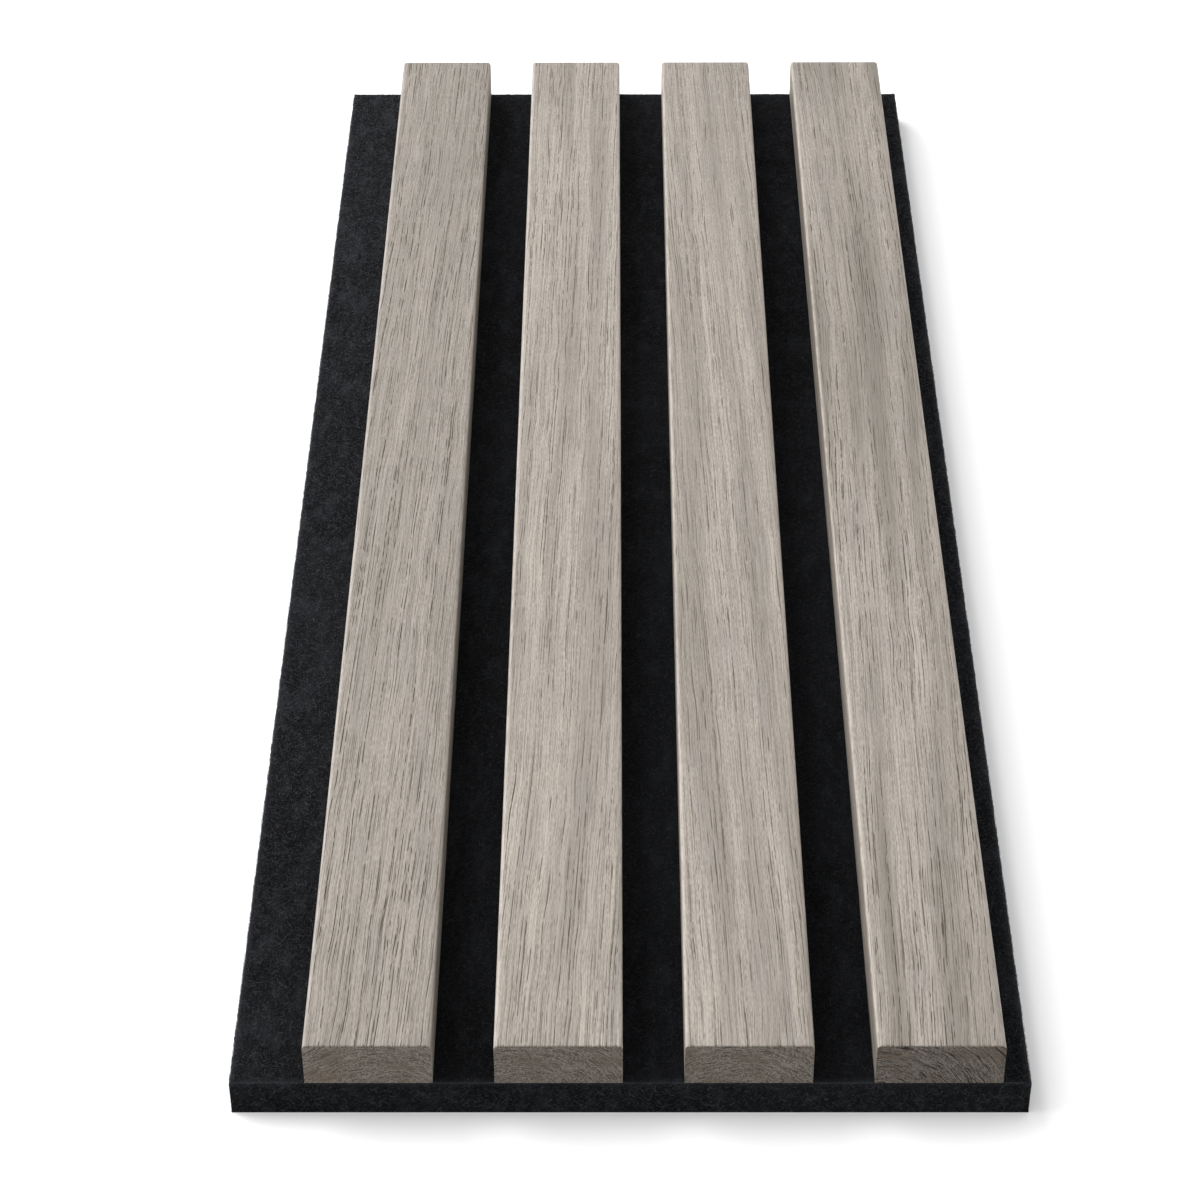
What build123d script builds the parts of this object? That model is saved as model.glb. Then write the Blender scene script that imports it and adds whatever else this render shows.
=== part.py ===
"""Slatted acoustic wall panel, a short length lying face up: oak slats bonded to a felt backing board.

The origin is on the back of the felt, at the middle of the panel. X runs across the slats, Y along them and
Z out of the face. All sizes are in millimetres.
"""

import os

from build123d import *

# The whole panel: felt and slats are cut through together, so they share one length
panel_length = 420.0

# Slats: sawn square at both ends, with the two long edges of the face eased
slat_count = 4
slat_width = 27.0
slat_gap = 13.0
slat_thickness = 11.0
arris_radius = 1.0

# Felt board: bare outside the first and the last slat, where the next panel's felt butts against it
felt_thickness = 9.0
left_margin = 16.0
right_margin = 6.0
felt_edge_radius = 0.6

# Worked out from the sizes above
slat_pitch = slat_width + slat_gap
slatted_width = slat_count * slat_pitch - slat_gap
felt_width = left_margin + slatted_width + right_margin
first_slat_centre = left_margin + slat_width / 2 - felt_width / 2

os.makedirs("parts", exist_ok=True)

# Felt board: its section, with the cut edges of the face rolled over, run along the panel
with BuildPart() as felt_backing:
    with BuildSketch(Plane.XZ) as felt_section:
        Rectangle(felt_width, felt_thickness, align=(Align.CENTER, Align.MIN))
        fillet(felt_section.vertices().group_by(Axis.Y)[-1], felt_edge_radius)
    extrude(amount=panel_length / 2, both=True)
felt_backing.part.label = "felt_backing"
export_step(felt_backing.part, "parts/felt_backing.step")

# Slats: the same section standing on the felt at each place across the panel
for index in range(slat_count):
    slat_centre = first_slat_centre + index * slat_pitch
    with BuildPart() as slat:
        with BuildSketch(Plane.XZ) as slat_section:
            with Locations((slat_centre, felt_thickness)):
                Rectangle(slat_width, slat_thickness, align=(Align.CENTER, Align.MIN))
            fillet(slat_section.vertices().group_by(Axis.Y)[-1], arris_radius)
        extrude(amount=panel_length / 2, both=True)
    slat.part.label = f"slat_{index + 1}"
    export_step(slat.part, f"parts/slat_{index + 1}.step")
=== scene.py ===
"""Slatted acoustic wall panel: brushed grey oak slats on a charcoal felt board, dressed around its solids.

Everything is in metres, in the frame of the solids: X across the slats, Y along them and Z out of the face.
"""

import logging
import math
from collections.abc import Iterable
from dataclasses import dataclass, field
from enum import Enum
from typing import Any

import bmesh
import bpy
import numpy as np
from mathutils import Euler, Matrix, Vector


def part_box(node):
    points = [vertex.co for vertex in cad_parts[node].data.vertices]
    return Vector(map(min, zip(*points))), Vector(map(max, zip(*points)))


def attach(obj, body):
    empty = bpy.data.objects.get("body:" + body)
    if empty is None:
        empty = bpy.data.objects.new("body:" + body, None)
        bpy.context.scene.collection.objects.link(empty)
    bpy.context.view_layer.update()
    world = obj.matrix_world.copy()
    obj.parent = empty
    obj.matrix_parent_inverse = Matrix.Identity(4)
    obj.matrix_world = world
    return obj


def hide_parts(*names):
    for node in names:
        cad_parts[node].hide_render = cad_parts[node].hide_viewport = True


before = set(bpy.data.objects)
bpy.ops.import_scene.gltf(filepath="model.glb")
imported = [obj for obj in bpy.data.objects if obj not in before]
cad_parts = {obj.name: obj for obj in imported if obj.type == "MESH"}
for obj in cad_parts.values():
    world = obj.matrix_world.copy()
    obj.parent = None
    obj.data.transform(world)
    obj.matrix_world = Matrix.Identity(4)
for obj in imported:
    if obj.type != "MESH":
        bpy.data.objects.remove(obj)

MM = 0.001
# Two places closer than this are one place
NEAR = 0.001 * MM
# An edge runs along an axis if this share of its length does
STRAIGHT = 0.999
# The bevel profile that is round
ROUND = 0.5
BODY = "root"
LOG = logging.getLogger("wall_panel")

Pair = tuple[float, float]
Triple = tuple[float, float, float]
Colour = Triple


class Axis(Enum):
    """The three directions of the panel."""

    ACROSS = 0
    ALONG = 1
    UP = 2


# Shader maths


class Signal:
    """One value inside a shader: arithmetic on it adds Math nodes to the shader's tree."""

    def __init__(self, graph: "ShaderGraph", socket: bpy.types.NodeSocket) -> None:
        """Keeps the tree and the socket that the value comes out of."""
        self.graph = graph
        self.socket = socket

    def _maths(self, operation: str, *operands: Any) -> "Signal":
        """Adds one Math node over the operands, in order."""
        return self.graph.add("ShaderNodeMath", {"operation": operation}, dict(enumerate(operands)))

    def __add__(self, other: Any) -> "Signal":
        """Sum."""
        return self._maths("ADD", self, other)

    def __radd__(self, other: Any) -> "Signal":
        """Sum, with a number on the left."""
        return self._maths("ADD", other, self)

    def __sub__(self, other: Any) -> "Signal":
        """Difference."""
        return self._maths("SUBTRACT", self, other)

    def __rsub__(self, other: Any) -> "Signal":
        """Difference, with a number on the left."""
        return self._maths("SUBTRACT", other, self)

    def __mul__(self, other: Any) -> "Signal":
        """Product."""
        return self._maths("MULTIPLY", self, other)

    def __rmul__(self, other: Any) -> "Signal":
        """Product, with a number on the left."""
        return self._maths("MULTIPLY", other, self)

    def __abs__(self) -> "Signal":
        """Size without the sign."""
        return self._maths("ABSOLUTE", self)

    def wave(self) -> "Signal":
        """Sine of the value, in radians."""
        return self._maths("SINE", self)

    def bearing(self, ahead: "Signal") -> "Signal":
        """Angle towards a point that lies this far aside and that far ahead."""
        return self._maths("ARCTAN2", self, ahead)

    def line(self, slope: float, start: float) -> "Signal":
        """The value on a straight line: a slope times this one, and a start."""
        return self * slope + start

    def beside(self, output: str) -> "Signal":
        """Another output of the node that this value comes from."""
        return Signal(self.graph, self.socket.node.outputs[output])

    def between(self, low: float, high: float) -> "Signal":
        """Rises smoothly from 0 at low to 1 at high."""
        sockets = {"Value": self, "From Min": low, "From Max": high}
        return self.graph.add("ShaderNodeMapRange", {"interpolation_type": "SMOOTHSTEP"}, sockets)


@dataclass(frozen=True)
class Noise:
    """Smooth noise.

    Attributes:
        frequency: cells to a metre, in each direction.
        detail: how many finer layers are added.
        roughness: how strong those layers are.
        window: the values between which it is made to rise from 0 to 1, if any.
    """

    frequency: Triple
    detail: float = 2.0
    roughness: float = 0.5
    window: Pair | None = None


@dataclass(frozen=True)
class Dashes:
    """Thin dashes.

    Attributes:
        room: how much room each has, across and along.
        half_width: half its width.
        half_length: half the length of the longest.
    """

    room: Pair
    half_width: float
    half_length: float


class ShaderGraph:
    """A material's node tree while it is being built."""

    MIX_SHARE = 0
    MIX_FIRST = 6
    MIX_SECOND = 7
    MIX_RESULT = 2
    DASH_SIDE = (1.4, 0.5)
    DASH_TIP = 0.75
    DASH_SHRINK = 0.7
    DASH_STRENGTH = (-0.1, 0.7)

    def __init__(self, name: str) -> None:
        """Starts an empty material of that name."""
        self.material = bpy.data.materials.new(name)
        self.material.use_nodes = True
        self.tree = self.material.node_tree
        self.tree.nodes.clear()

    def add(
        self,
        kind: str,
        settings: dict[str, Any] | None = None,
        inputs: dict[int | str, Any] | None = None,
        output: int | str = 0,
    ) -> Signal:
        """Adds one node.

        Args:
            kind: the node's type.
            settings: properties that are set first.
            inputs: a value or a signal for each socket.
            output: the output that is wanted.

        Returns:
            The signal at that output.
        """
        node = self.tree.nodes.new(kind)
        for name, value in (settings or {}).items():
            setattr(node, name, value)
        for name, value in (inputs or {}).items():
            if isinstance(value, Signal):
                self.tree.links.new(value.socket, node.inputs[name])
            else:
                node.inputs[name].default_value = value
        return Signal(self, node.outputs[output])

    def place(self) -> Signal:
        """The point on the piece, in the panel's frame."""
        return self.add("ShaderNodeTexCoord", output="Object")

    def attribute(self, name: str, output: str = "Fac") -> Signal:
        """A value that the mesh carries at its vertices."""
        return self.add("ShaderNodeAttribute", {"attribute_name": name}, output=output)

    def vector(self, operation: str, first: Any, second: Any, output: str = "Vector") -> Signal:
        """One Vector Math node over two vectors."""
        return self.add("ShaderNodeVectorMath", {"operation": operation}, {0: first, 1: second}, output)

    def noise(self, point: Signal, pattern: Noise) -> Signal:
        """Smooth noise over a point.

        Args:
            point: where the noise is read.
            pattern: how fine it is.

        Returns:
            From 0 to 1 over the pattern's window, or mostly between 0.25 and 0.75 where it has none.
        """
        sockets = {
            "Vector": self.vector("MULTIPLY", point, pattern.frequency),
            "Scale": 1.0,
            "Detail": pattern.detail,
            "Roughness": pattern.roughness,
        }
        value = self.add("ShaderNodeTexNoise", None, sockets)
        return value.between(*pattern.window) if pattern.window else value

    def dashes(self, point: Signal, pattern: Dashes) -> Signal:
        """Thin dashes along the second direction, each somewhere in a room of its own.

        Args:
            point: where the pattern is read, in metres.
            pattern: the sizes of the dashes.

        Returns:
            Up to 1 on a dash and 0 off it: some dashes are faint.
        """
        across, along = pattern.room
        scaled = self.vector("MULTIPLY", point, (1 / across, 1 / along, 0.0))
        settings = {"voronoi_dimensions": "2D", "feature": "F1"}
        middle = self.add("ShaderNodeTexVoronoi", settings, {"Vector": scaled, "Scale": 1.0}, "Position")
        chance = self.add("ShaderNodeSeparateColor", None, {"Color": middle.beside("Color")})
        gap = self.vector("MULTIPLY", self.vector("SUBTRACT", scaled, middle), (across, along, 0.0))
        aside = self.add("ShaderNodeSeparateXYZ", None, {"Vector": gap})
        thin = abs(aside).between(*(part * pattern.half_width for part in self.DASH_SIDE))
        reach = pattern.half_length
        spent = abs(aside.beside("Y")) + chance * (self.DASH_SHRINK * reach)
        short = spent.between(reach, self.DASH_TIP * reach)
        return thin * short * chance.beside("Green").between(*self.DASH_STRENGTH)

    def mix(self, share: Any, first: Any, second: Any) -> Signal:
        """Blends two colours.

        Args:
            share: how much of the second there is, from 0 to 1.
            first: the colour at 0, a signal or a plain one.
            second: the colour at 1, a signal or a plain one.

        Returns:
            The blend.
        """
        before, after = (c if isinstance(c, Signal) else (*c, 1.0) for c in (first, second))
        settings = {"data_type": "RGBA", "clamp_factor": True}
        sockets = {self.MIX_SHARE: share, self.MIX_FIRST: before, self.MIX_SECOND: after}
        return self.add("ShaderNodeMix", settings, sockets, self.MIX_RESULT)

    def bump(self, height: Signal, depth: float) -> Signal:
        """A surface normal tilted by a height from 0 to 1 that stands for a depth in metres."""
        return self.add("ShaderNodeBump", None, {"Distance": depth, "Height": height}, "Normal")

    def finish(self, sockets: dict[str, Any]) -> bpy.types.Material:
        """Ends the tree in one Principled shader.

        Args:
            sockets: values or signals by the shader's socket names.

        Returns:
            The material.
        """
        shader = self.add("ShaderNodeBsdfPrincipled", None, sockets)
        surface = self.tree.nodes.new("ShaderNodeOutputMaterial").inputs["Surface"]
        self.tree.links.new(shader.socket, surface)
        return self.material


# The grain of a slat


def eased(share: np.ndarray) -> np.ndarray:
    """A share from 0 to 1, made to start and end gently."""
    return np.square(share) * (3 - 2 * share)


def smooth_field(rng: np.random.Generator, shape: tuple[int, int], step: Pair) -> np.ndarray:
    """A random field of about unit spread.

    Args:
        rng: the seeded source of randomness.
        shape: rows and columns of the field.
        step: rows and columns over which the field changes.

    Returns:
        The field, one value for each row and column.
    """
    places = [np.arange(count) / width for count, width in zip(shape, step)]
    cells = [place.astype(int) for place in places]
    row, column = cells
    down, right = (eased(place - cell) for place, cell in zip(places, cells))
    lattice = rng.standard_normal([cell[-1] + 2 for cell in cells])
    rows = lattice[row] * (1 - down)[:, None] + lattice[row + 1] * down[:, None]
    return rows[:, column] * (1 - right) + rows[:, column + 1] * right


@dataclass(frozen=True)
class GrainHabit:
    """How the grain runs in one slat.

    Attributes:
        seed: what its random marks are drawn from.
        lean: how far the grain drifts across for each metre along.
        bow: how far it has drifted further at both ends.
        ring_spacing: from one growth ring to the next.
        shade: how light the face is.
        end_shade: how light the sawn ends are.
        strokes: how strong the splits in the sawn ends are.
        banding: how strong the darker bands along the face are.
        pores: how dark the open pores are.
        pith: where the tree's pith lies from the middle of the slat, across and up.
    """

    seed: int
    lean: float
    bow: float
    ring_spacing: float
    shade: float
    end_shade: float
    strokes: float
    banding: float
    pores: float
    pith: Pair


class GrainSheet:
    """The grain of one slat, drawn on its face and sides rolled out flat.

    Across is the way round the section from the middle of the face, and along is the length of the slat.
    A layer is a weight, and the distances across and along over which a random field changes.
    """

    CELL_ACROSS = 0.05 * MM
    CELL_ALONG = 0.5 * MM
    LAST_CELL = 1.001
    SPARE = 10 * MM
    WANDER = ((0.6 * MM, 14 * MM, 90 * MM), (0.16 * MM, 3 * MM, 12 * MM))
    TONE = ((0.6, 2.2 * MM, 150 * MM), (0.4, 0.8 * MM, 60 * MM))
    FURROW = ((0.6, 0.45 * MM, 40 * MM), (0.4, 0.22 * MM, 14 * MM))
    RING_SPREAD = (0.55, 1.45)
    STRANDS = 2
    STRAND_SPREAD = 0.35 * MM
    DASH = 9.0 * MM
    DASH_SPREAD = 0.55
    DASH_GAP = 24.0 * MM
    PORE_DEPTHS = (1.6, 2.2)
    PORE_WIDTH = 0.10 * MM
    PORE_SPREAD = (0.7, 1.4)
    PORE_REACH = 2.5
    PORE_TAPER = 3

    def __init__(self, habit: GrainHabit, girth: float, length: float) -> None:
        """Draws the sheet.

        Args:
            habit: how the grain runs.
            girth: the way round the face and both sides.
            length: the slat's length.
        """
        self.habit = habit
        self.length = length
        self.width = girth + 2 * self.SPARE
        self.shape = (int(self.width / self.CELL_ACROSS), int(length / self.CELL_ALONG) + 1)
        self.rng = np.random.default_rng(habit.seed)
        self.wander = self._layered(self.WANDER)
        self.tone = self._layered(self.TONE)
        self.furrow = self._layered(self.FURROW)
        self.pore = self._draw_pores()

    def _layered(self, layers: tuple[Triple, ...]) -> np.ndarray:
        """Adds up smooth random fields.

        Args:
            layers: the weight and the distances of each.

        Returns:
            The sum, one value for each cell of the sheet.
        """
        total = np.zeros(self.shape)
        for weight, across, along in layers:
            step = (across / self.CELL_ACROSS, along / self.CELL_ALONG)
            total += weight * smooth_field(self.rng, self.shape, step)
        return total

    def _draw_pores(self) -> np.ndarray:
        """Draws the open pores: strands of short dashes that crowd along each growth ring.

        Returns:
            How deep the pores are, from 0 to 1, one value for each cell of the sheet.
        """
        sheet = np.zeros(self.shape)
        ring = -self.width / 2
        while ring < self.width / 2:
            for _ in range(self.STRANDS):
                place = ring + self.rng.normal(0.0, self.STRAND_SPREAD)
                start = -self.length / 2 - self.rng.uniform(0.0, self.DASH_GAP)
                while start < self.length / 2:
                    dash = self.DASH * self.rng.lognormal(0.0, self.DASH_SPREAD)
                    self._stamp(sheet, place, start, dash, self.rng.beta(*self.PORE_DEPTHS))
                    start += dash + self.rng.exponential(self.DASH_GAP)
            ring += self.habit.ring_spacing * self.rng.uniform(*self.RING_SPREAD)
        return sheet

    def _stamp(self, sheet: np.ndarray, place: float, start: float, dash: float, depth: float) -> None:
        """Presses one pore into the sheet.

        Args:
            sheet: the sheet drawn on.
            place: how far across the pore lies.
            start: how far along it starts.
            dash: its length.
            depth: how deep it is, from 0 to 1.
        """
        width = self.PORE_WIDTH * self.rng.uniform(*self.PORE_SPREAD)
        middle = (place + self.width / 2) / self.CELL_ACROSS
        reach = self.PORE_REACH * width / self.CELL_ACROSS
        first = (start + self.length / 2) / self.CELL_ALONG
        last = first + dash / self.CELL_ALONG
        across = np.arange(max(int(middle - reach), 0), min(int(middle + reach) + 1, self.shape[0]))
        along = np.arange(max(int(first), 0), min(int(last) + 1, self.shape[1]))
        if not len(across) or not len(along):
            return
        side = np.exp(-np.square((across - middle) * self.CELL_ACROSS / width))
        from_middle = np.abs(2 * (along - first) / (last - first) - 1)
        taper = np.clip(1 - np.power(from_middle, self.PORE_TAPER), 0, 1)
        patch = np.ix_(across, along)
        sheet[patch] = np.maximum(sheet[patch], depth * side[:, None] * taper)

    def read(self, sheet: np.ndarray, across: np.ndarray, along: np.ndarray) -> np.ndarray:
        """The sheet's values at points.

        Args:
            sheet: one of the fields above.
            across: how far across each point lies.
            along: how far along each point lies.

        Returns:
            One value for each point.
        """
        row = np.clip((across + self.width / 2) / self.CELL_ACROSS, 0, self.shape[0] - self.LAST_CELL)
        column = np.clip((along + self.length / 2) / self.CELL_ALONG, 0, self.shape[1] - self.LAST_CELL)
        i = row.astype(int)
        j = column.astype(int)
        down = row - i
        right = column - j
        near = sheet[i, j] * (1 - down) + sheet[i + 1, j] * down
        far = sheet[i, j + 1] * (1 - down) + sheet[i + 1, j + 1] * down
        return near * (1 - right) + far * right

    def straightened(self, across: np.ndarray, along: np.ndarray) -> np.ndarray:
        """How far across each point would lie if the grain ran straight."""
        bow = self.habit.bow * np.square(2 * along / self.length)
        return across - self.habit.lean * along - bow - self.read(self.wander, across, along)


# Finishes


def shaded(colour: Colour, shade: float) -> Colour:
    """A colour with all its parts made lighter or darker."""
    return tuple(shade * part for part in colour)


@dataclass(frozen=True)
class OakFace:
    """Oak brushed along the grain and greyed, on a slat's face, edges and sides."""

    name: str
    shade: float
    banding: float
    pores: float
    pale: Colour = (0.334, 0.298, 0.2625)
    beige: Colour = (0.148, 0.1305, 0.1095)
    dusk: Colour = (0.145, 0.1275, 0.1065)
    ash: Colour = (0.200, 0.180, 0.169)
    umber: Colour = (0.034, 0.022, 0.007)
    # Paler colour of the eased edges: worn wood, partly a painted highlight.
    worn_highlight: Colour = (0.46, 0.411, 0.364)
    flick: Noise = Noise((4800, 640, 1), detail=1)
    flick_weight: float = 1.45
    fibre: Noise = Noise((4000, 30, 1), detail=1)
    fibre_weight: float = 1.05
    streak: Noise = Noise((2300, 8, 1))
    streak_weight: float = 1.35
    tone_weight: float = 0.05
    level: float = 1.255
    band: Noise = Noise((130, 5, 1), detail=1, window=(0.36, 0.66))
    band_share: float = 0.5
    strip: Noise = Noise((270, 18, 1), detail=1, window=(0.52, 0.72))
    strip_share: float = 0.32
    hair: Dashes = Dashes((0.32 * MM, 9 * MM), 0.05 * MM, 4.5 * MM)
    hair_share: float = 0.32
    crowd: Noise = Noise((420, 5, 1), window=(0.36, 0.60))
    vessel: Dashes = Dashes((0.5 * MM, 22 * MM), 0.07 * MM, 11 * MM)
    vessel_crowd: Pair = (0.7, 0.3)
    vessel_share: float = 0.68
    open_run: Noise = Noise((900, 175, 1), window=(0.44, 0.54))
    chain: Dashes = Dashes((0.95 * MM, 130 * MM), 0.10 * MM, 65 * MM)
    chain_run: Pair = (0.85, 0.15)
    pore_window: Pair = (0.05, 0.6)
    pore_share: float = 0.7
    # How the paler band along the eased edges comes and goes: worn wood, partly a painted highlight.
    wear_and_highlight_run: Pair = (0.3, 0.22)
    roughness: float = 0.5
    fibre_roughness: float = 0.2
    pore_roughness: float = 0.15
    specular: float = 0.25
    relief: float = 0.08 * MM
    light_relief: float = 0.3
    vessel_relief: float = 0.4
    chain_relief: float = 0.5

    def material(self) -> bpy.types.Material:
        """Builds the material.

        Returns:
            The material, for a mesh that carries its grain, pores, tone, and a paler band along the eased
            edges that is partly worn wood and partly a painted highlight.
        """
        graph = ShaderGraph(self.name)
        palette = (self.pale, self.beige, self.dusk, self.ash, self.umber, self.worn_highlight)
        pale, beige, dusk, ash, umber, worn_highlight = (shaded(colour, self.shade) for colour in palette)
        grain = graph.attribute("grain", "Vector")
        pore = graph.attribute("pore").between(*self.pore_window)
        wear_and_highlight = graph.attribute("wear_and_highlight")
        flick = graph.noise(grain, self.flick)
        fibre = graph.noise(grain, self.fibre)
        streak = graph.noise(grain, self.streak)
        band = graph.noise(grain, self.band)
        strip = graph.noise(grain, self.strip)
        crowd = graph.noise(grain, self.crowd)
        open_run = graph.noise(grain, self.open_run)
        hair = graph.dashes(grain, self.hair)
        vessel = graph.dashes(grain, self.vessel) * crowd.line(*self.vessel_crowd)
        chain = graph.dashes(grain, self.chain) * open_run.line(*self.chain_run)
        light = flick * self.flick_weight + fibre * self.fibre_weight + streak * self.streak_weight
        light = light + graph.attribute("tone") * self.tone_weight - self.level
        colour = graph.mix(light, beige, pale)
        for share, coat in (
            (band * (self.band_share * self.banding), dusk),
            (strip * self.strip_share, ash),
            (hair * self.hair_share, umber),
            (vessel * (self.vessel_share * self.pores), umber),
            (chain * self.pores, umber),
            (pore * self.pore_share, umber),
            # A paler band along the eased edges: worn wood, partly a painted highlight.
            (wear_and_highlight * open_run.line(*self.wear_and_highlight_run), worn_highlight),
        ):
            colour = graph.mix(share, colour, coat)
        height = light * self.light_relief - vessel * self.vessel_relief - chain * self.chain_relief
        return graph.finish(
            {
                "Base Color": colour,
                "Roughness": fibre * self.fibre_roughness + pore * self.pore_roughness + self.roughness,
                "Specular IOR Level": self.specular,
                "Normal": graph.bump(height, self.relief),
            }
        )


@dataclass(frozen=True)
class OakEnd:
    """Oak sawn across the grain: faint growth rings round a far-off pith, torn fibres and splits."""

    name: str
    shade: float
    pith: Triple
    ring_spacing: float
    strokes: float
    pale: Colour = (0.174, 0.152, 0.130)
    brown: Colour = (0.060, 0.051, 0.043)
    umber: Colour = (0.100, 0.076, 0.054)
    dark: Colour = (0.022, 0.018, 0.015)
    mean_reach: float = 14 * MM
    stir: Noise = Noise((150, 4, 150))
    stir_depth: float = 2.2 * MM
    hatch: Noise = Noise((4800, 520, 4), roughness=0.6)
    hatch_weight: float = 3.4
    grit: Noise = Noise((2300, 4, 2300), roughness=0.6)
    grit_weight: float = 4.0
    ring_weight: float = 0.12
    level: float = 3.14
    patch: Noise = Noise((140, 4, 200), window=(0.45, 0.68))
    patch_share: float = 0.55
    stroke: Noise = Noise((4200, 330, 4), detail=1)
    stroke_window: Pair = (0.665, 0.755)
    stroke_ring: float = 0.05
    stroke_gain: float = 0.05
    roughness: Pair = (0.2, 0.65)
    specular: float = 0.15
    relief: float = 0.2 * MM
    stroke_relief: float = 0.8

    def material(self) -> bpy.types.Material:
        """Builds the material.

        Returns:
            The material, which needs nothing from the mesh.
        """
        graph = ShaderGraph(self.name)
        palette = (self.pale, self.brown, self.umber, self.dark)
        pale, brown, umber, dark = (shaded(colour, self.shade) for colour in palette)
        away = graph.vector("SUBTRACT", graph.place(), self.pith)
        run = graph.add("ShaderNodeSeparateXYZ", None, {"Vector": away})
        reach = graph.vector("LENGTH", graph.vector("MULTIPLY", away, (1, 0, 1)), (0, 0, 0), "Value")
        swing = run.bearing(run.beside("Z"))
        depth = reach + graph.noise(away, self.stir) * self.stir_depth
        ends = {"X": depth, "Y": swing * self.mean_reach, "Z": run.beside("Y")}
        polar = graph.add("ShaderNodeCombineXYZ", None, ends)
        ring = (depth * (2 * math.pi / self.ring_spacing)).wave()
        hatch = graph.noise(polar, self.hatch)
        grit = graph.noise(away, self.grit)
        patch = graph.noise(away, self.patch)
        split = graph.noise(polar, self.stroke) + ring * self.stroke_ring + self.strokes * self.stroke_gain
        stroke = split.between(*self.stroke_window) * self.strokes
        light = hatch * self.hatch_weight + grit * self.grit_weight + ring * self.ring_weight - self.level
        colour = graph.mix(light, brown, pale)
        colour = graph.mix(patch * self.patch_share, colour, umber)
        colour = graph.mix(stroke, colour, dark)
        return graph.finish(
            {
                "Base Color": colour,
                "Roughness": hatch.line(*self.roughness),
                "Specular IOR Level": self.specular,
                "Normal": graph.bump(hatch - stroke * self.stroke_relief, self.relief),
            }
        )


@dataclass(frozen=True)
class CharcoalFelt:
    """Needled felt board: a dense dark mat with paler threads lying in it every way."""

    name: str = "charcoal_felt"
    dark: Colour = (0.0011, 0.0012, 0.0014)
    mid: Colour = (0.0050, 0.0053, 0.0061)
    pale: Colour = (0.036, 0.0385, 0.044)
    cloud: Noise = Noise((60, 25, 60), detail=4, roughness=0.6)
    nap: Noise = Noise((2200, 1500, 2200), roughness=0.6)
    mat_window: Pair = (0.75, 1.25)
    haze: Noise = Noise((300, 110, 300), detail=3, roughness=0.6, window=(0.46, 0.73))
    haze_share: float = 0.19
    thread: Noise = Noise((520, 2900, 2900), detail=1, window=(0.58, 0.72))
    thread_share: float = 0.4
    turns: tuple[Triple, ...] = (
        (0, 0.1, 0.3),
        (0.1, 0, 1.35),
        (0, -0.1, 2.4),
        (0, 0.9, 0.1),
        (0, -0.8, -0.1),
    )
    # Paler felt on the turned edges: fuzz of the cut and rolled edges, partly a painted highlight.
    rim_share: float = 0.52
    roughness: Pair = (0.1, 0.88)
    specular: float = 0.05
    relief: float = 0.35 * MM
    thread_relief: float = 0.4

    def material(self) -> bpy.types.Material:
        """Builds the material.

        Returns:
            The material, for a mesh that carries its rim, where paler felt is painted on the turned edges
            as fuzz and partly as a highlight, and its painted shade and sheen.
        """
        graph = ShaderGraph(self.name)
        place = graph.place()
        cloud = graph.noise(place, self.cloud)
        haze = graph.noise(place, self.haze)
        nap = graph.noise(place, self.nap)
        first, *others = (self._threads(graph, place, turn) for turn in self.turns)
        thread = sum(others, first)
        # The paler threads are scaled by painted shade and sheen: weaker in the grooves between the slats,
        # where shade falls, and stronger towards the far end, a painted sheen.
        lit = (thread * self.thread_share + haze * self.haze_share) * graph.attribute("painted_shade_and_sheen")
        colour = graph.mix((nap + cloud).between(*self.mat_window), self.dark, self.mid)
        # The rim: paler fuzz on the turned edges, partly a painted highlight.
        colour = graph.mix(lit + graph.attribute("rim") * self.rim_share, colour, self.pale)
        return graph.finish(
            {
                "Base Color": colour,
                "Roughness": nap.line(*self.roughness),
                "Specular IOR Level": self.specular,
                "Normal": graph.bump(nap + thread * self.thread_relief, self.relief),
            }
        )

    def _threads(self, graph: ShaderGraph, place: Signal, turn: Triple) -> Signal:
        """Short threads that all lie one way.

        Args:
            graph: the material's tree.
            place: the point on the board.
            turn: the way that they lie.

        Returns:
            The threads, 1 where there is one.
        """
        sockets = {"Vector": place, "Rotation": turn}
        turned = graph.add("ShaderNodeMapping", {"vector_type": "POINT"}, sockets)
        return graph.noise(turned, self.thread)


@dataclass(frozen=True)
class FibreShade:
    """One shade of the loose polyester fibres."""

    name: str
    colour: Colour
    roughness: float = 0.6
    specular: float = 0.1

    def material(self) -> bpy.types.Material:
        """Builds the material.

        Returns:
            The material, the same all over.
        """
        return ShaderGraph(self.name).finish(
            {
                "Base Color": (*self.colour, 1.0),
                "Roughness": self.roughness,
                "Specular IOR Level": self.specular,
            }
        )


@dataclass(frozen=True)
class StudioWhite:
    """Matt white sweep under the panel."""

    name: str = "studio_white"
    white: Colour = (0.79, 0.79, 0.79)
    roughness: float = 0.9

    def material(self) -> bpy.types.Material:
        """Builds the material."""
        sockets = {"Base Color": (*self.white, 1.0), "Roughness": self.roughness}
        return ShaderGraph(self.name).finish(sockets)


# Mesh helpers


def filled_box(low: Vector, high: Vector) -> Matrix:
    """The matrix that makes a unit cube fill the box between two corners."""
    return Matrix.Translation((low + high) / 2) @ Matrix.Diagonal((*(high - low), 1.0))


def edges_along(shape: bmesh.types.BMesh, axis: Axis) -> list[bmesh.types.BMEdge]:
    """Finds the edges that run along an axis.

    Args:
        shape: where they are looked for.
        axis: the direction they run in.

    Returns:
        Those edges.
    """
    found = []
    for edge in shape.edges:
        run = edge.verts[1].co - edge.verts[0].co
        if abs(run[axis.value]) > STRAIGHT * run.length:
            found.append(edge)
    return found


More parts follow.
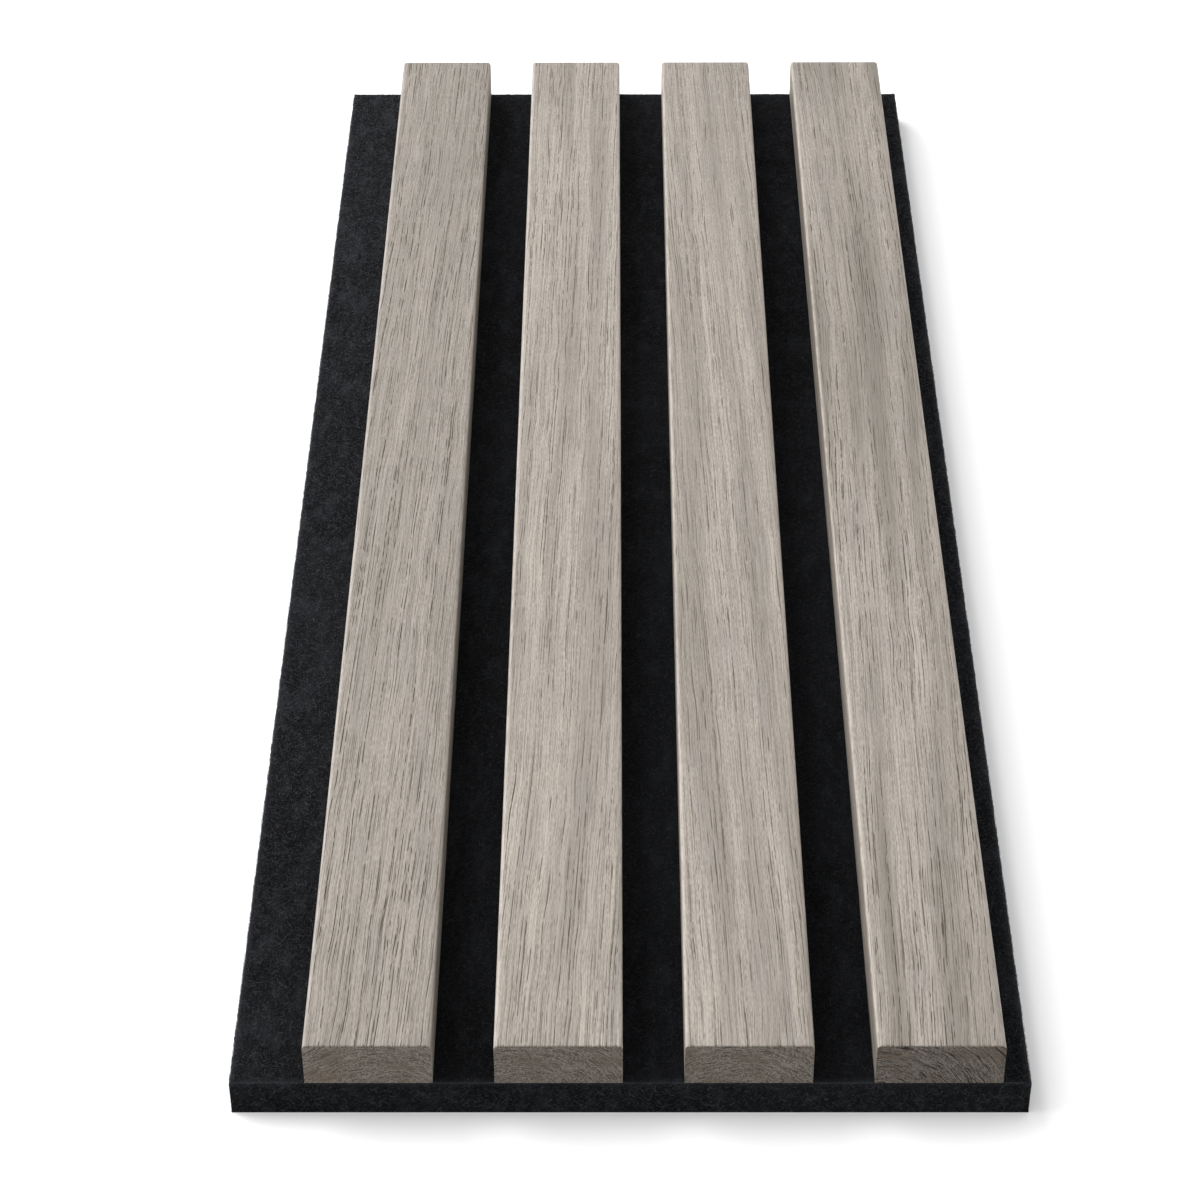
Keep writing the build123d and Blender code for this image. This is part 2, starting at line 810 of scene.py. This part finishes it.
def lying_at(edges: Iterable[bmesh.types.BMEdge], axis: Axis, place: float) -> list[bmesh.types.BMEdge]:
    """The edges among those given that lie in a plane across an axis."""
    return [edge for edge in edges if all(abs(v.co[axis.value] - place) < NEAR for v in edge.verts)]


def divide(shape: bmesh.types.BMesh, edges: list[bmesh.types.BMEdge], parts: int) -> None:
    """Cuts each edge, and the faces between them, into equal parts."""
    bmesh.ops.subdivide_edges(shape, edges=edges, cuts=parts - 1, use_grid_fill=True)


def soften(shape: bmesh.types.BMesh, edges: list[bmesh.types.BMEdge], radius: float, steps: int) -> None:
    """Rounds edges to a radius.

    Args:
        shape: what the edges belong to.
        edges: the edges.
        radius: how far the rounding reaches in from each.
        steps: how many faces go round it.
    """
    bmesh.ops.bevel(
        shape,
        geom=edges,
        offset=radius,
        offset_type="OFFSET",
        segments=steps,
        profile=ROUND,
        affect="EDGES",
        material=-1,
    )


def as_mesh(name: str, shape: bmesh.types.BMesh) -> bpy.types.Mesh:
    """Turns a shape into a mesh, and frees it.

    Args:
        name: the mesh's name.
        shape: the shape.

    Returns:
        The mesh.
    """
    mesh = bpy.data.meshes.new(name)
    shape.to_mesh(mesh)
    shape.free()
    return mesh


def vectors_of(items: bpy.types.bpy_prop_collection, name: str) -> np.ndarray:
    """Reads a vector from each vertex or face of a mesh.

    Args:
        items: the vertices or faces.
        name: the vector that is read.

    Returns:
        The vectors, one row each.
    """
    values = np.empty(3 * len(items))
    items.foreach_get(name, values)
    return values.reshape(-1, 3)


def carry(mesh: bpy.types.Mesh, name: str, values: np.ndarray) -> None:
    """Stores numbers or vectors at a mesh's vertices, for its material.

    Args:
        mesh: the mesh.
        name: what the material calls them.
        values: one number or one row for each vertex.
    """
    is_vector = values.ndim > 1
    attribute = mesh.attributes.new(name, "FLOAT_VECTOR" if is_vector else "FLOAT", "POINT")
    attribute.data.foreach_set("vector" if is_vector else "value", values.astype(np.float32).ravel())


def ease_of(node: str, low: Vector, high: Vector) -> float:
    """How far a node's rounded upper edges reach in from its sides."""
    top = [v.co.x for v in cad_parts[node].data.vertices if v.co.z > high.z - NEAR]
    return min(top) - low.x


def placed(name: str, data: bpy.types.ID) -> bpy.types.Object:
    """Links a new object to the scene.

    Args:
        name: the object's name.
        data: its mesh, curve, light or camera.

    Returns:
        The object, at the origin.
    """
    thing = bpy.data.objects.new(name, data)
    bpy.context.scene.collection.objects.link(thing)
    return thing


def show(
    name: str,
    mesh: bpy.types.Mesh,
    materials: list[bpy.types.Material],
) -> bpy.types.Object:
    """Puts a finished mesh in the scene.

    Args:
        name: the piece's name.
        mesh: its mesh, in place.
        materials: its materials, in order.

    Returns:
        The piece, riding on the panel.
    """
    for material in materials:
        mesh.materials.append(material)
    piece = placed(name, mesh)
    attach(piece, BODY)
    LOG.info("%s: %d faces", name, len(mesh.polygons))
    return piece


# Sub-assemblies


@dataclass
class Slat:
    """One oak slat: sawn square, its long face edges eased, brushed so that the pores stand open."""

    node: str
    habit: GrainHabit
    rows: int = 240
    columns: int = 256
    side_rows: int = 18
    arris_steps: int = 6
    pore_depth: float = 0.13 * MM
    furrow_depth: float = 0.025 * MM
    furrow_level: float = 0.5
    furrow_spread: float = 0.35
    chips: int = 14
    chip_depth: float = 0.40 * MM
    chip_widths: Pair = (0.15 * MM, 0.50 * MM)
    chip_strengths: Pair = (0.3, 1.0)
    # Where the paler band on the eased edges lies and how wide it is: worn wood, partly a painted
    # highlight.
    wear_and_highlight_place: float = 0.8
    wear_and_highlight_width: float = 0.45
    end_row: float = 0.6 * MM
    row_match: float = 0.01
    end_facing: float = 0.9
    foot: float = 0.4 * MM
    apart: float = 50 * MM
    grain_height: float = 0.5 * MM
    low: Vector = field(init=False)
    high: Vector = field(init=False)
    arris: float = field(init=False)

    def __post_init__(self) -> None:
        """Takes the slat's box and eased edges from the solids."""
        self.low, self.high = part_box(self.node)
        self.arris = ease_of(self.node, self.low, self.high)

    def build(self) -> bpy.types.Object:
        """Models the slat and dresses it.

        Returns:
            The piece that stands for the slat's solid.
        """
        mesh = as_mesh(f"brushed_{self.node}", self._block())
        self._brush(mesh)
        self._face_up(mesh)
        habit = self.habit
        centre = (self.low + self.high) / 2
        pith = (centre.x + habit.pith[0], 0.0, centre.z + habit.pith[1])
        face = OakFace(f"oak_face_{self.node}", habit.shade, habit.banding, habit.pores)
        end = OakEnd(f"oak_end_{self.node}", habit.end_shade, pith, habit.ring_spacing, habit.strokes)
        piece = show(f"brushed_{self.node}", mesh, [face.material(), end.material()])
        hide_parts(self.node)
        return piece

    def _block(self) -> bmesh.types.BMesh:
        """Models the slat with its eased edges, cut finely enough to take the grain.

        Returns:
            The shape.
        """
        shape = bmesh.new()
        bmesh.ops.create_cube(shape, size=1.0, matrix=filled_box(self.low, self.high))
        face_edges = lying_at(edges_along(shape, Axis.ALONG), Axis.UP, self.high.z)
        soften(shape, face_edges, self.arris, self.arris_steps)
        divide(shape, edges_along(shape, Axis.ALONG), self.rows)
        self._draw_in_end_row(shape)
        divide(shape, lying_at(edges_along(shape, Axis.ACROSS), Axis.UP, self.high.z), self.columns)
        divide(shape, edges_along(shape, Axis.UP), self.side_rows)
        return shape

    def _draw_in_end_row(self, shape: bmesh.types.BMesh) -> None:
        """Moves the row of vertices next to the near end close to it, so that chips stay short.

        Args:
            shape: the slat, cut into rows.
        """
        pitch = (self.high.y - self.low.y) / self.rows
        row = [v for v in shape.verts if abs(v.co.y - self.low.y - pitch) < self.row_match * pitch]
        bmesh.ops.translate(shape, verts=row, vec=(0.0, self.end_row - pitch, 0.0))

    def _brush(self, mesh: bpy.types.Mesh) -> None:
        """Sinks the pores and the brushed furrows, and stores the grain for the finish.

        Args:
            mesh: the slat's mesh.
        """
        points = vectors_of(mesh.vertices, "co")
        middle = (self.low.x + self.high.x) / 2
        flat = (self.high.x - self.low.x) / 2 - self.arris
        side = np.sign(points[:, 0] - middle)
        out = np.maximum(np.abs(points[:, 0] - middle) - flat, 0.0)
        rise = points[:, 2] - (self.high.z - self.arris)
        turn = np.arctan2(out, np.maximum(rise, 0.0))
        inside = np.minimum(np.abs(points[:, 0] - middle), flat)
        across = side * (inside + self.arris * turn - np.minimum(rise, 0.0))
        along = points[:, 1] - (self.low.y + self.high.y) / 2
        girth = 2 * (flat + self.arris * math.pi / 2 + self.high.z - self.arris - self.low.z)
        sheet = GrainSheet(self.habit, girth, self.high.y - self.low.y)
        straight = sheet.straightened(across, along)
        chip = self._chips(across, along, rise)
        pore = np.maximum(sheet.read(sheet.pore, straight, along), chip)
        brushed = self.furrow_level - self.furrow_spread * sheet.read(sheet.furrow, straight, along)
        furrow = np.clip(brushed, 0.0, 1.0)
        free = np.clip((points[:, 2] - self.low.z) / self.foot, 0.0, 1.0)
        depth = free * (self.pore_depth * pore + self.chip_depth * chip + self.furrow_depth * furrow)
        points[:, 0] -= side * np.sin(turn) * depth
        points[:, 2] -= np.cos(turn) * depth
        mesh.vertices.foreach_set("co", points.ravel())
        shifted = straight + self.habit.seed * self.apart
        level = np.full(len(along), self.grain_height)
        from_edge = np.abs(across) - flat - self.arris * self.wear_and_highlight_place
        carry(mesh, "grain", np.stack([shifted, along, level], 1))
        carry(mesh, "pore", pore)
        carry(mesh, "tone", sheet.read(sheet.tone, straight, along))
        # A paler band along both eased edges: worn wood, partly a painted highlight.
        carry(mesh, "wear_and_highlight", np.exp(-np.square(from_edge / (self.wear_and_highlight_width * self.arris))))

    def _chips(self, across: np.ndarray, along: np.ndarray, rise: np.ndarray) -> np.ndarray:
        """Small splinters that the saw tore from the face at the near end.

        Args:
            across: how far round the section each point lies.
            along: how far along each point lies.
            rise: how far each point lies above the foot of the eased edge.

        Returns:
            How deep the chip is at each point, from 0 to 1.
        """
        rng = np.random.default_rng(self.habit.seed + 1)
        chip = np.zeros(len(across))
        at_end = (along < along.min() + NEAR) & (rise > 0.0)
        for place in rng.uniform(across[at_end].min(), across[at_end].max(), self.chips):
            width = rng.uniform(*self.chip_widths)
            bell = np.exp(-np.square((across[at_end] - place) / width))
            chip[at_end] = np.maximum(chip[at_end], rng.uniform(*self.chip_strengths) * bell)
        return chip

    def _face_up(self, mesh: bpy.types.Mesh) -> None:
        """Gives the sawn ends their own finish and a flat look, and the rest a smooth one.

        Args:
            mesh: the slat's mesh.
        """
        is_end = np.abs(vectors_of(mesh.polygons, "normal")[:, 1]) > self.end_facing
        mesh.polygons.foreach_set("material_index", is_end.astype(np.int32))
        mesh.polygons.foreach_set("use_smooth", ~is_end)
        mesh.update()


@dataclass
class FeltBoard:
    """The felt board: cut square, its long edges rolled over, a little lumpy where no slat presses it."""

    slats: list[Slat]
    node: str = "felt_backing"
    columns: int = 96
    rows: int = 224
    layers: int = 6
    roll_steps: int = 3
    cut_ease: float = 0.35 * MM
    crease: float = math.radians(50)
    lump: float = 0.10 * MM
    lump_odds: Pair = (1.5, 1.5)
    press: float = 1.0 * MM
    skin: float = 0.01 * MM
    rim_gain: float = 2.2
    # Painted sheen: the paler threads on the bare face beside the slats show more towards the far end.
    margin_painted_sheen: Pair = (0.91, 1.95)
    # Painted shade in the grooves between the slats, with the same painted sheen towards the far end.
    groove_painted_shade_and_sheen: Pair = (0.50, 0.78)
    cut_fluff: float = 1.08
    seed: int = 5
    low: Vector = field(init=False)
    high: Vector = field(init=False)

    def __post_init__(self) -> None:
        """Takes the board's box from the solids."""
        self.low, self.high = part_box(self.node)

    def build(self) -> bpy.types.Object:
        """Models the board and dresses it.

        Returns:
            The piece that stands for the board's solid.
        """
        mesh = as_mesh("needled_felt", self._block())
        self._roughen(mesh)
        mesh.polygons.foreach_set("use_smooth", np.ones(len(mesh.polygons), bool))
        mesh.set_sharp_from_angle(angle=self.crease)
        piece = show("needled_felt", mesh, [CharcoalFelt().material()])
        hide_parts(self.node)
        return piece

    def _block(self) -> bmesh.types.BMesh:
        """Models the board, cut into a grid on every side, with its long upper edges rolled over.

        Returns:
            The shape.
        """
        shape = bmesh.new()
        bmesh.ops.create_cube(shape, size=1.0, matrix=filled_box(self.low, self.high))
        divide(shape, edges_along(shape, Axis.ACROSS), self.columns)
        divide(shape, edges_along(shape, Axis.UP), self.layers)
        divide(shape, edges_along(shape, Axis.ALONG), self.rows)
        upper = lying_at(edges_along(shape, Axis.ALONG), Axis.UP, self.high.z)
        outer = lying_at(upper, Axis.ACROSS, self.low.x) + lying_at(upper, Axis.ACROSS, self.high.x)
        soften(shape, outer, ease_of(self.node, self.low, self.high), self.roll_steps)
        upper = lying_at(edges_along(shape, Axis.ACROSS), Axis.UP, self.high.z)
        cut = lying_at(upper, Axis.ALONG, self.low.y) + lying_at(upper, Axis.ALONG, self.high.y)
        soften(shape, cut, self.cut_ease, self.roll_steps)
        return shape

    def _roughen(self, mesh: bpy.types.Mesh) -> None:
        """Sinks the surface unevenly, and stores for the finish its rim, paler fuzz that is partly a
        painted highlight, and its painted shade and sheen.

        Args:
            mesh: the board's mesh.
        """
        points = vectors_of(mesh.vertices, "co")
        normals = vectors_of(mesh.vertices, "normal")
        turned = np.sort(np.abs(normals), axis=1)[:, 1]
        on_face = points[:, 2] > self.high.z - self.press
        # Rim: paler where the surface turns over its edges, fuzz that is partly a painted highlight.
        carry(mesh, "rim", np.clip(turned * self.rim_gain, 0.0, 1.0) * on_face)
        # Painted shade in the grooves and painted sheen towards the far end on the face; a plain level on
        # the cut sides.
        carry(mesh, "painted_shade_and_sheen", np.where(on_face, self._painted_shade_and_sheen(points), self.cut_fluff))
        rng = np.random.default_rng(self.seed)
        depth = self.lump * self._bareness(points) * rng.beta(*self.lump_odds, len(points))
        points -= normals * depth[:, None]
        mesh.vertices.foreach_set("co", points.ravel())

    def _bareness(self, points: np.ndarray) -> np.ndarray:
        """How free the felt is to be lumpy: not under the slats nor on the back.

        Args:
            points: the board's vertices.

        Returns:
            From 0 to 1, one value for each.
        """
        worn_highlight = np.ones(len(points))
        for slat in self.slats:
            aside = np.maximum(slat.low.x - points[:, 0], points[:, 0] - slat.high.x)
            worn_highlight = np.minimum(worn_highlight, np.clip(aside / self.press, 0.0, 1.0))
        worn_highlight[points[:, 2] < self.high.z - self.skin] = 1.0
        worn_highlight[points[:, 2] < self.low.z + self.skin] = 0.0
        return worn_highlight

    def _painted_shade_and_sheen(self, points: np.ndarray) -> np.ndarray:
        """Painted shade and sheen on the face: the paler threads show less in the grooves between the
        slats, a painted shade, and more towards the far end, a painted sheen.

        Args:
            points: the board's vertices.

        Returns:
            How strongly the paler threads show, one value for each.
        """
        ends = (self.low.y, self.high.y)
        margin = np.interp(points[:, 1], ends, self.margin_painted_sheen)
        groove = np.interp(points[:, 1], ends, self.groove_painted_shade_and_sheen)
        in_grooves = (points[:, 0] > self.slats[0].low.x) & (points[:, 0] < self.slats[-1].high.x)
        return np.where(in_grooves, groove, margin)


@dataclass(frozen=True)
class Patch:
    """A flat stretch of bare felt: a corner, its two sides and the way it faces."""

    corner: Vector
    side_a: Vector
    side_b: Vector
    out: Vector
    density: float = 1.0
    lift: float = 1.0

    def area(self) -> float:
        """The patch's area, weighed by how thickly fibres lie on it."""
        return self.side_a.length * self.side_b.length * self.density


@dataclass
class FibreNap:
    """Loose fibres of one shade that lie on the bare felt."""

    board: FeltBoard
    shade: FibreShade
    count: int
    seed: int
    steps: int = 3
    shortest: float = 0.8 * MM
    longest: float = 2.8 * MM
    thickness: float = 0.05 * MM
    bend: float = 0.6
    inset: float = 0.05 * MM
    rise: float = 0.30 * MM
    rise_odds: Pair = (1.0, 3.0)
    rise_skew: Pair = (0.6, 1.4)
    sink: float = 0.06 * MM
    lip: float = 0.5 * MM
    gap_density: float = 0.1
    rim_density: float = 6.0
    rim_lift: float = 0.9

    def build(self) -> bpy.types.Object:
        """Lays the fibres and dresses them.

        Returns:
            The piece.
        """
        curve = bpy.data.curves.new(self.shade.name, "CURVE")
        curve.dimensions = "3D"
        curve.bevel_depth = self.thickness / 2
        curve.bevel_resolution = 0
        curve.use_fill_caps = True
        patches = self._patches()
        rng = np.random.default_rng(self.seed)
        weights = np.array([patch.area() for patch in patches])
        shares = rng.multinomial(self.count, weights / weights.sum())
        for patch, share in zip(patches, shares):
            for path in self._paths(rng, patch, share):
                spline = curve.splines.new("POLY")
                spline.points.add(len(path) - 1)
                spline.points.foreach_set("co", np.hstack([path, np.ones((len(path), 1))]).ravel())
        strand = placed(self.shade.name, curve)
        solid = strand.evaluated_get(bpy.context.evaluated_depsgraph_get())
        mesh = bpy.data.meshes.new_from_object(solid)
        mesh.materials.clear()
        bpy.data.objects.remove(strand)
        bpy.data.curves.remove(curve)
        return show(self.shade.name, mesh, [self.shade.material()])

    def _patches(self) -> list[Patch]:
        """Finds the bare stretches of the board: beside and between the slats, and its four cut edges.

        Returns:
            The stretches, in a fixed order.
        """
        low, high = self.board.low, self.board.high
        along = Vector((0, high.y - low.y, 0))
        across = Vector((high.x - low.x, 0, 0))
        up = Vector((0, 0, high.z - low.z))
        sky = Vector((0, 0, 1))
        lip = Vector((0, 0, self.lip))
        edges = [low.x]
        for slat in self.board.slats:
            edges += [slat.low.x, slat.high.x]
        edges.append(high.x)
        found = []
        for left, right in zip(edges[::2], edges[1::2]):
            corner = Vector((left, low.y, high.z))
            density = self.gap_density if low.x < left and right < high.x else 1.0
            found.append(Patch(corner, Vector((right - left, 0, 0)), along, sky, density))
        for corner, side, out in (
            (low, across, Vector((0, -1, 0))),
            (low + along, across, Vector((0, 1, 0))),
            (low, along, Vector((-1, 0, 0))),
            (low + across, along, Vector((1, 0, 0))),
        ):
            outward = (out + sky).normalized()
            found.append(Patch(corner, side, up, out))
            found.append(Patch(corner + up - lip, side, lip, outward, self.rim_density, self.rim_lift))
        return found

    def _paths(self, rng: np.random.Generator, patch: Patch, share: int) -> np.ndarray:
        """Lays fibres on one patch.

        Args:
            rng: the seeded source of randomness.
            patch: where they lie.
            share: how many there are.

        Returns:
            The points of each fibre.
        """
        sides = np.array([patch.side_a.length, patch.side_b.length])
        length = rng.uniform(self.shortest, self.longest, share)
        heading = rng.uniform(0, 2 * math.pi, share)
        turn = rng.normal(0.0, self.bend, (share, self.steps)).cumsum(axis=1)
        angles = heading[:, None] + turn
        moves = np.stack([np.cos(angles), np.sin(angles)], 2) * (length / self.steps)[:, None, None]
        run = np.concatenate([np.zeros((share, 1, 2)), moves.cumsum(axis=1)], 1)
        run -= run.mean(axis=1, keepdims=True)
        centre = rng.uniform(0, 1, (share, 1, 2)) * sides
        place = np.clip(run + centre, self.inset, sides - self.inset)
        top = rng.beta(*self.rise_odds, (share, 1)) * self.rise * patch.lift
        passed = np.power(np.linspace(0, 1, self.steps + 1), rng.uniform(*self.rise_skew, (share, 1)))
        height = top * np.sin(math.pi * passed) - self.sink
        a, b, out = (np.array(v.normalized()) for v in (patch.side_a, patch.side_b, patch.out))
        flat = np.array(patch.corner) + place[..., :1] * a + place[..., 1:] * b
        return flat + height[..., None] * out


@dataclass
class Studio:
    """White sweep, soft light from the back left and the camera."""

    floor_size: float = 6.0
    sky: float = 1.05
    sky_colour: Colour = (1.0, 1.0, 1.0)
    sun_strength: float = 4.3
    sun_spread: float = math.radians(60)
    sun_height: float = math.radians(38)
    sun_bearing: float = math.radians(27)
    eye: Triple = (-3.06 * MM, -681.27 * MM, 509.19 * MM)
    dip: float = math.radians(38.205)
    swing: float = math.radians(-0.338)
    roll: float = math.radians(-0.255)
    lens: float = 96.95
    nearest: float = 10 * MM

    def build(self) -> None:
        """Sets up the floor, the light and the camera."""
        self._lay_floor()
        self._light()
        self._aim()
        bpy.context.scene.view_settings.view_transform = "Standard"

    def _lay_floor(self) -> None:
        """Lays the white floor under the panel."""
        shape = bmesh.new()
        bmesh.ops.create_grid(shape, x_segments=1, y_segments=1, size=self.floor_size / 2)
        mesh = as_mesh("white_floor", shape)
        mesh.materials.append(StudioWhite().material())
        placed("white_floor", mesh)

    def _light(self) -> None:
        """Hangs a wide soft sun at the back left under a white sky."""
        world = bpy.data.worlds.new("white_sky")
        world.use_nodes = True
        background = world.node_tree.nodes["Background"]
        background.inputs["Color"].default_value = (*self.sky_colour, 1.0)
        background.inputs["Strength"].default_value = self.sky
        bpy.context.scene.world = world
        lamp = bpy.data.lights.new("soft_sun", "SUN")
        lamp.energy = self.sun_strength
        lamp.angle = self.sun_spread
        flat = math.cos(self.sun_height)
        towards = Vector(
            (
                -flat * math.cos(self.sun_bearing),
                flat * math.sin(self.sun_bearing),
                math.sin(self.sun_height),
            )
        )
        placed("soft_sun", lamp).rotation_euler = towards.to_track_quat("Z", "Y").to_euler()

    def _aim(self) -> None:
        """Places the camera in front of the panel, looking down along the slats."""
        lens = bpy.data.cameras.new("camera")
        lens.lens = self.lens
        lens.clip_start = self.nearest
        camera = placed("camera", lens)
        level = Euler((math.pi / 2 - self.dip, 0.0, -self.swing)).to_matrix()
        turn = level @ Matrix.Rotation(self.roll, 3, "Z")
        camera.matrix_world = Matrix.Translation(self.eye) @ turn.to_4x4()
        bpy.context.scene.camera = camera


HABITS = (
    GrainHabit(
        seed=11,
        lean=0.036,
        bow=-0.5 * MM,
        ring_spacing=2.1 * MM,
        shade=0.83,
        end_shade=0.955,
        strokes=0.65,
        banding=0.4,
        pores=1.08,
        pith=(3 * MM, -17 * MM),
    ),
    GrainHabit(
        seed=23,
        lean=0.030,
        bow=-1.8 * MM,
        ring_spacing=1.8 * MM,
        shade=0.99,
        end_shade=0.905,
        strokes=0.65,
        banding=1.0,
        pores=0.86,
        pith=(-9 * MM, -16 * MM),
    ),
    GrainHabit(
        seed=37,
        lean=-0.030,
        bow=-0.8 * MM,
        ring_spacing=1.9 * MM,
        shade=0.925,
        end_shade=0.91,
        strokes=0.70,
        banding=0.9,
        pores=0.68,
        pith=(-3 * MM, -15 * MM),
    ),
    GrainHabit(
        seed=41,
        lean=0.004,
        bow=-2.6 * MM,
        ring_spacing=2.3 * MM,
        shade=0.885,
        # Slat 4's sawn ends are darker than the other slats' ends: painted shade.
        end_shade=0.765,
        strokes=1.40,
        banding=1.55,
        pores=0.95,
        pith=(-14 * MM, -14 * MM),
    ),
)

BLACK_FIBRES = FibreShade("felt_fibres_black", (0.0037, 0.004, 0.0047))
GREY_FIBRES = FibreShade("felt_fibres_grey", (0.019, 0.0205, 0.0235))
PALE_FIBRES = FibreShade("felt_fibres_pale", (0.057, 0.061, 0.068))


def main() -> None:
    """Builds the panel and its studio; each piece's faces are logged."""
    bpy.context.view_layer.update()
    slats = [Slat(f"slat_{number}", habit) for number, habit in enumerate(HABITS, 1)]
    for slat in slats:
        slat.build()
    board = FeltBoard(slats)
    board.build()
    FibreNap(board, BLACK_FIBRES, count=2600, seed=71).build()
    FibreNap(board, GREY_FIBRES, count=4600, seed=72).build()
    FibreNap(board, PALE_FIBRES, count=2000, seed=73).build()
    Studio().build()


if __name__ == "__main__":
    logging.basicConfig(level=logging.INFO)
    main()
